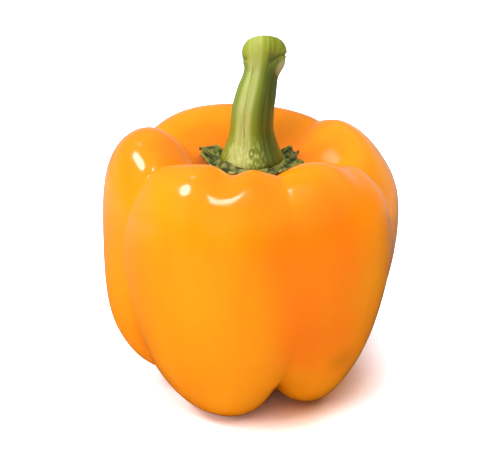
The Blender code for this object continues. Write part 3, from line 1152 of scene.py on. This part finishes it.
@dataclass
class Stem:
    """The ribbed stem with its flared foot, its swollen head and the cut at its top."""

    name: str = "pepper_stem"
    node: str = "stem"
    columns: int = 64
    rows: int = 36
    levels: int = 2
    swell_mm: float = 0.04
    streak_mm: float = 0.025
    cut_step_mm: float = 0.1
    cut_insets: Point = (0.93, 0.7, 0.6)
    cut_part: float = 0.9
    cut_reach_mm: float = 3.0
    fibre_unit_mm: float = 6.0
    side_from: Span = (0.86, 0.97)
    shaft_foot: Span = (67.5, 72.5)
    shaft_head: Span = (96.5, 91.5)
    head_span: Span = (93.0, 96.0)
    furrow_span: Span = (74.0, 91.0)
    ring_at: float = -1.0
    ring_level_mm: float = 71.2
    ring_mark_mm: float = 0.10
    ring_radius_mm: float = 0.62
    ring_half_width_mm: float = 0.22
    ring_stretch: float = 1.5
    ring_dark: float = 0.8
    nick: Spot = Spot(-70.0, 94.9, 20.0, 0.4)
    nick_mm: float = 0.42
    nick_rim: Spot = Spot(-80.0, 94.0, 18.0, 0.5)
    nick_rim_mm: float = 0.18
    # painted shade in the crevice under the head
    crevice: Spot = Spot(30.0, 94.8, 14.0, 1.0)
    crevice_painted_shade: float = 0.85
    dimple: Spot = Spot(28.0, 94.7, 12.0, 1.2)
    dimple_mm: float = 0.85
    lip: Spot = Spot(66.0, 93.0, 24.0, 2.1)
    lip_mm: float = 1.25
    crease_mm: float = 0.6
    crease_half_mm: float = 0.26
    crease_at: tuple[float, ...] = (20.0, 32.0, 44.0, 74.0, 100.0)
    crease_levels: tuple[float, ...] = (94.0, 94.5, 95.2, 96.0, 96.4)
    crease_from: Span = (24.0, 38.0)
    crease_to: Span = (118.0, 92.0)
    bare_on_lip: Span = (0.25, 0.7)
    bare_under_crease_mm: Span = (0.1, 0.5)
    hollow_rounds: int = 26
    hollow_full_mm: float = 0.22
    rings: tuple[StemRing, ...] = (
        StemRing(0.3, 0.0, 65.9, 7.4),
        StemRing(0.3, 0.0, 66.4, 8.3),
        StemRing(0.3, 0.0, 67.0, 8.7),
        StemRing(0.3, 0.0, 67.7, 8.72),
        StemRing(0.3, 0.0, 68.7, 8.4),
        StemRing(0.3, 0.0, 70.4, 7.6),
        StemRing(0.35, 0.0, 73.2, 6.55),
        StemRing(0.25, 0.0, 75.9, 5.95),
        StemRing(0.35, 0.0, 78.6, 5.85),
        StemRing(0.6, 0.1, 81.8, 5.8),
        StemRing(1.2, 0.2, 85.0, 5.6),
        StemRing(1.8, 0.3, 88.0, 5.25),
        StemRing(2.4, 0.4, 90.4, 4.8, 4.0),
        StemRing(2.85, 0.5, 92.4, 4.65, 9.0),
        StemRing(3.25, 0.7, 94.2, 5.3, 16.0),
        StemRing(3.5, 0.9, 96.0, 6.0, 25.0),
        StemRing(3.6, 1.2, 97.8, 6.05, 35.0),
        StemRing(3.6, 1.5, 99.15, 5.0, 42.0),
    )
    furrows: tuple[Furrow, ...] = (
        Furrow(-19.0, -31.0, 2.8, 0.22),
        Furrow(31.0, 22.0, 9.0, 0.28),
        Furrow(-70.0, -74.0, 9.0, 0.16),
        Furrow(66.0, 62.0, 8.0, 0.14),
        Furrow(101.0, 98.0, 9.0, 0.30),
        Furrow(142.0, 138.0, 8.0, 0.28),
        Furrow(181.0, 176.0, 9.0, 0.26),
        Furrow(-142.0, -136.0, 8.0, 0.30),
        Furrow(-106.0, -104.0, 7.0, 0.24),
    )

    def build(self, material: bpy.types.Material) -> Piece:
        """Models the stem upright and straight, adds its small forms, leans it and dresses it.

        Args:
            material: The stem's material.

        Returns:
            The finished piece.
        """
        piece = self.straight_post()
        subdivide(piece, self.levels)
        self.carve(piece)
        self.lean(piece)
        keep_inside(piece, self.node)
        mark_hollows(piece, self.hollow_rounds, self.hollow_full_mm * MM)
        dress(piece, material, self.node)
        return piece

    def profile(self, height: np.ndarray | float) -> dict[str, np.ndarray]:
        """Reads the rings' values between the rings.

        Args:
            height: Where they are wanted, in millimetres.

        Returns:
            The values there by their names.
        """
        levels = [ring.z for ring in self.rings]
        return {name: np.interp(height, levels, [getattr(ring, name) for ring in self.rings])
                for name in ("x", "y", "radius", "lean")}

    def straight_post(self) -> Piece:
        """Extrudes a straight post with the stem's radii, ring by ring from a circle.

        Returns:
            The post, closed at both ends.
        """
        deselect_everything()
        base, top = self.rings[0], self.rings[-1]
        bpy.ops.mesh.primitive_circle_add(vertices=self.columns, radius=base.radius * MM,
                                          fill_type="TRIFAN", location=(0.0, 0.0, base.z * MM))
        piece = bpy.context.object
        piece.name = piece.data.name = self.name
        bpy.ops.object.transform_apply()
        heights = np.linspace(base.z, top.z, self.rows)
        radii = self.profile(heights)["radius"]
        with editing(piece):
            bpy.ops.mesh.flip_normals()
            bpy.ops.mesh.select_all(action="DESELECT")
            bpy.ops.mesh.select_non_manifold()
            for below, above, narrow, wide in zip(heights, heights[1:], radii, radii[1:]):
                self.extrude_ring((above - below) * MM, wide / narrow, above * MM)
            for inset in self.cut_insets:
                self.extrude_ring(-self.cut_step_mm * MM, inset, top.z * MM)
            bpy.ops.mesh.extrude_edges_move()
            bpy.ops.mesh.merge(type="CENTER")
        return piece

    @staticmethod
    def extrude_ring(rise: float, grow: float, height: float) -> None:
        """Extrudes the selected ring along the post and scales the new one about its axis.

        Args:
            rise: How far up the new ring lies.
            grow: How wide it is for a width of 1 below.
            height: Its own height.
        """
        bpy.ops.mesh.extrude_edges_move()
        bpy.ops.transform.translate(value=(0.0, 0.0, rise))
        bpy.ops.transform.resize(value=(grow, grow, 1.0), center_override=(0.0, 0.0, height))

    def carve(self, piece: Piece) -> None:
        """Adds furrows, streaks on the head, the torn lip on its right and the nick on its left.

        Args:
            piece: The straight post.
        """
        places = points_of(piece) / MM
        radius = np.hypot(places[:, 0], places[:, 1])
        height = places[:, 2]
        azimuth = azimuth_of(places)
        turn = np.radians(azimuth)
        side = smooth_step(*self.side_from, radius / self.profile(height)["radius"])
        shaft = smooth_step(*self.shaft_foot, height) * smooth_step(*self.shaft_head, height)
        # seven low ribs that wind round a little, and two runs of streaks that don't line up
        out = self.swell_mm * shaft * np.cos(7 * turn + 0.15 * (height - 80.0))
        out -= shaft * sum(furrow.cut(azimuth, height, self.furrow_span) for furrow in self.furrows)
        head = smooth_step(*self.head_span, height)
        out += head * self.streak_mm * (np.cos(23 * turn + 1.0) + 0.6 * np.cos(14 * turn + 2.0))
        torn, bare = self.torn_lip(azimuth, height)
        out += torn
        out -= self.nick_mm * self.nick.mask(azimuth, height)
        out += self.nick_rim_mm * self.nick_rim.mask(azimuth, height)
        ring = self.ring_of_cork(azimuth, height, radius)
        out += self.ring_mark_mm * ring
        scale = np.where(radius > 0.1, 1 + out * side / np.maximum(radius, 0.1), 1.0)
        raised = (height - self.rings[0].z) / self.fibre_unit_mm
        mark(piece, Mark.FIBRE, np.stack([np.sin(turn), -np.cos(turn), raised], -1))
        mark(piece, Mark.EDGE, bare)
        # painted shade in the crevice, stored in the scar mark with the cork ring
        crevice = self.crevice.mask(azimuth, height) * self.crevice_painted_shade
        mark(piece, Mark.SCAR, np.maximum(ring * self.ring_dark, crevice))
        places[:, 0] *= scale
        places[:, 1] *= scale
        move_points(piece, places * MM)

    def ring_of_cork(self, azimuth: np.ndarray, height: np.ndarray, radius: np.ndarray) -> np.ndarray:
        """Works out the small raised ring on the front of the foot.

        Args:
            azimuth: Of each point on the straight post.
            height: Of each point, in millimetres.
            radius: Of each point, in millimetres.

        Returns:
            1 on the ring, 0 well away from it.
        """
        across = np.radians(turned_from(azimuth, self.ring_at)) * radius
        away = np.hypot(across, (height - self.ring_level_mm) / self.ring_stretch)
        return np.exp(-(((away - self.ring_radius_mm) / self.ring_half_width_mm) ** 2))

    def torn_lip(self, azimuth: np.ndarray, height: np.ndarray) -> tuple[np.ndarray, np.ndarray]:
        """Works out the crease that runs up to the right under the head, and the swollen lip below it.

        Args:
            azimuth: Of each point on the straight post.
            height: Of each point, in millimetres.

        Returns:
            How far each point is pushed out in millimetres, and how bare the tissue is there, 0 to 1.
        """
        along = smooth_step(*self.crease_from, azimuth) * smooth_step(*self.crease_to, azimuth)
        under = np.interp(azimuth, self.crease_at, self.crease_levels) - height
        crease = np.exp(-((under / self.crease_half_mm) ** 2)) * along
        lip = self.lip.mask(azimuth, height)
        bare = smooth_step(*self.bare_on_lip, lip) * smooth_step(*self.bare_under_crease_mm, under) * along
        dimple = self.dimple.mask(azimuth, height)
        return self.lip_mm * lip - self.crease_mm * crease - self.dimple_mm * dimple, bare

    def lean(self, piece: Piece) -> None:
        """Bends the straight post to the stem's own line and leans its head back.

        Args:
            piece: The carved post, whose cut face sinks a little under the last ring.
        """
        places = points_of(piece) / MM
        top = self.rings[-1].z
        line = self.profile(places[:, 2])
        inner = np.hypot(places[:, 0], places[:, 1]) < self.cut_part * line["radius"]
        on_cut = inner & (places[:, 2] > top - self.cut_reach_mm)
        level = np.where(on_cut, top, places[:, 2])
        line = self.profile(level)
        sunk = places[:, 2] - level
        tilt = np.radians(line["lean"])
        back, side = places[:, 1], places[:, 0]
        leaned = np.stack([
            side + line["x"] + STEM_PLACE_MM[0],
            back * np.cos(tilt) + sunk * np.sin(tilt) + line["y"] + STEM_PLACE_MM[1],
            level - back * np.sin(tilt) + sunk * np.cos(tilt),
        ], -1)
        move_points(piece, leaned * MM)


@dataclass(frozen=True)
class Softbox:
    """A soft light that looks at the pepper: round or square, and seen in its gloss or not."""

    name: str
    azimuth: float
    elevation: float
    distance: float
    width: float
    height: float
    watts: float
    round: bool = False
    in_gloss: bool = True

    def place(self, target: Vector) -> None:
        """Adds the light to the scene.

        Args:
            target: The place that it looks at.
        """
        light = bpy.data.lights.new(self.name, "AREA")
        light.shape = "ELLIPSE" if self.round else "RECTANGLE"
        light.size, light.size_y = self.width, self.height
        light.energy = self.watts
        lamp = bpy.data.objects.new(self.name, light)
        turn, rise = radians(self.azimuth), radians(self.elevation)
        away = Vector((sin(turn) * cos(rise), -cos(turn) * cos(rise), sin(rise)))
        lamp.location = target + away * self.distance
        lamp.rotation_euler = away.to_track_quat("Z", "Y").to_euler()
        lamp.visible_glossy = self.in_gloss
        bpy.context.scene.collection.objects.link(lamp)


@dataclass
class Studio:
    """A white table in a white room, with soft lights round the pepper.

    In the pepper's gloss the room is dark in front and bright behind. The table is white to the camera,
    and its shadow is drawn by how open each place on it is.
    """

    target: Vector = field(default_factory=lambda: Vector((0.0, 0.0, 0.045)))
    floor_size: float = 2.4
    floor_seen: Colour = (1.65, 1.8, 2.0, 1.0)
    floor_shaded: Colour = (0.74, 0.42, 0.20, 1.0)
    floor_lit: Colour = (0.80, 0.80, 0.80, 1.0)
    floor_roughness: float = 0.9
    shade_reach: float = 0.05
    shade_from: Point = (-0.36, -0.84, 0.40)
    shade_openness: Span = (0.2, 0.9)
    shade_fades_left: Span = (-0.03, 0.02)
    shade_at_left: float = 0.2
    room_light: float = 0.24
    room_seen: float = 1.2
    window_side: Point = (-0.25, 0.97, 0.0)
    window_span: Span = (0.0, 0.8)
    room_in_gloss: Span = (0.02, 0.60)
    room_dims_up: Span = (0.0, 0.5)
    room_high_up: float = 0.3
    overhead_span: Span = (0.05, 0.6)
    overhead_in_gloss: float = 0.32
    floor_window_span: Span = (0.0, 0.25)
    floor_in_gloss: Span = (0.02, 0.50)
    lights: tuple[Softbox, ...] = (
        Softbox("front top softbox", -16.0, 62.5, 0.62, 0.055, 0.13, 0.46),
        Softbox("front top fill", 6.0, 60.0, 0.62, 0.24, 0.24, 1.75, in_gloss=False),
        Softbox("back window", -118.0, 58.5, 0.62, 0.06, 0.08, 0.07),
        Softbox("left softbox", -85.0, 46.0, 0.62, 0.17, 0.17, 1.5, round=True),
        Softbox("ceiling", 0.0, 88.0, 2.0, 3.0, 3.0, 14.0, in_gloss=False),
        Softbox("left wall", -70.0, 15.0, 1.4, 0.7, 0.7, 6.7, in_gloss=False),
        Softbox("right wall", 70.0, 15.0, 1.4, 0.7, 0.7, 0.4, in_gloss=False),
        Softbox("front wall", -10.0, 20.0, 1.4, 0.7, 0.7, 3.5, in_gloss=False),
        Softbox("back right wall", 115.0, 40.0, 1.4, 0.7, 0.7, 5.0, in_gloss=False),
    )

    def build(self) -> None:
        """Adds the table, the room's light and the lamps."""
        self.table()
        self.room()
        for light in self.lights:
            light.place(self.target)

    def table(self) -> None:
        """The white surface that the pepper stands on."""
        deselect_everything()
        bpy.ops.mesh.primitive_plane_add(size=self.floor_size)
        floor = bpy.context.object
        floor.name = "white_table"
        material, recipe, surface = new_material("white table", {
            "Roughness": self.floor_roughness, "Specular IOR Level": 0.0})
        ray = recipe.add("LightPath").outputs
        place = recipe.add("TexCoord").outputs["Object"]
        towards = recipe.along(place, self.window_side)
        mirrored = recipe.ramp(towards, *self.floor_window_span, *self.floor_in_gloss)
        sky = recipe.add("AmbientOcclusion", {"Distance": self.shade_reach, "Normal": self.shade_from})
        shade = recipe.ramp(sky.outputs["AO"], *self.shade_openness, 1.0, 0.0)
        right = recipe.ramp(recipe.part_of(place, "X"), *self.shade_fades_left, self.shade_at_left, 1.0)
        seen = recipe.blend(recipe.times(shade, right), self.floor_seen, self.floor_shaded)
        colour = recipe.blend(ray["Is Camera Ray"], self.floor_lit, seen)
        recipe.feed(surface, "Base Color", recipe.blend(ray["Is Glossy Ray"], colour, mirrored))
        floor.data.materials.append(material)

    def room(self) -> None:
        """Even white light from all round, with its own look to the camera and in the pepper's gloss."""
        world = bpy.data.worlds.new("white room")
        world.use_nodes = True
        recipe = Recipe(world.node_tree)
        ray = recipe.add("LightPath").outputs
        towards = recipe.add("TexCoord").outputs["Generated"]
        rise = recipe.part_of(towards, "Z")
        behind = recipe.along(towards, self.window_side)
        behind = recipe.ramp(behind, *self.window_span, *self.room_in_gloss)
        behind = recipe.times(behind, recipe.ramp(rise, *self.room_dims_up, 1.0, self.room_high_up))
        overhead = recipe.ramp(rise, *self.overhead_span, 0.0, self.overhead_in_gloss)
        mirrored = recipe.times(ray["Is Glossy Ray"], recipe.math("MAXIMUM", behind, overhead))
        kept = recipe.times(recipe.math("SUBTRACT", 1.0, ray["Is Glossy Ray"]), self.room_light)
        seen = recipe.times(ray["Is Camera Ray"], self.room_seen)
        strength = recipe.math("MAXIMUM", recipe.math("ADD", kept, mirrored), seen)
        light = recipe.add("Background", {"Color": (1.0, 1.0, 1.0, 1.0), "Strength": strength})
        recipe.add("OutputWorld", {"Surface": light.outputs["Background"]})
        bpy.context.scene.world = world


@dataclass
class PhotoCamera:
    """The camera where the photograph was taken from."""

    elevation: float = 23.0
    distance: float = 0.42
    target: Vector = field(default_factory=lambda: Vector((-0.0005, -0.0002, 0.039)))
    frame_width_px: int = 491
    frame_height_px: int = 450
    px_to_the_mm: float = 3.55
    target_px: tuple[float, float] = (251.0, 253.0)
    sensor: float = 36.0

    def place(self) -> None:
        """Adds the camera and makes it the scene's."""
        camera = bpy.data.cameras.new("photo camera")
        camera.sensor_width = self.sensor
        focal_px = self.px_to_the_mm * self.distance / MM
        camera.lens = focal_px / self.frame_width_px * self.sensor
        camera.shift_x = (self.frame_width_px / 2 - self.target_px[0]) / self.frame_width_px
        camera.shift_y = (self.target_px[1] - self.frame_height_px / 2) / self.frame_width_px
        camera.dof.use_dof = False
        holder = bpy.data.objects.new("photo camera", camera)
        rise = radians(self.elevation)
        away = Vector((0.0, -cos(rise), sin(rise)))
        holder.location = self.target + away * self.distance
        holder.rotation_euler = Euler((pi / 2 - rise, 0.0, 0.0))
        bpy.context.scene.collection.objects.link(holder)
        bpy.context.scene.camera = holder


def main() -> None:
    """Builds the pepper, piece by piece, then the studio and the camera."""
    logging.basicConfig(level=logging.INFO, format="%(message)s")
    bpy.context.scene.view_settings.view_transform = "Standard"
    effects = Effects()
    fruit = Fruit().build(OrangeSkin().material(effects))
    calyx = Calyx().build(fruit, DriedLeaf().material(effects))
    stem = Stem().build(GreenStem().material(effects))
    for piece in (fruit, calyx, stem):
        LOG.info("%s has %d faces", piece.name, len(piece.data.polygons))
    Studio().build()
    PhotoCamera().place()


if __name__ == "__main__":
    main()
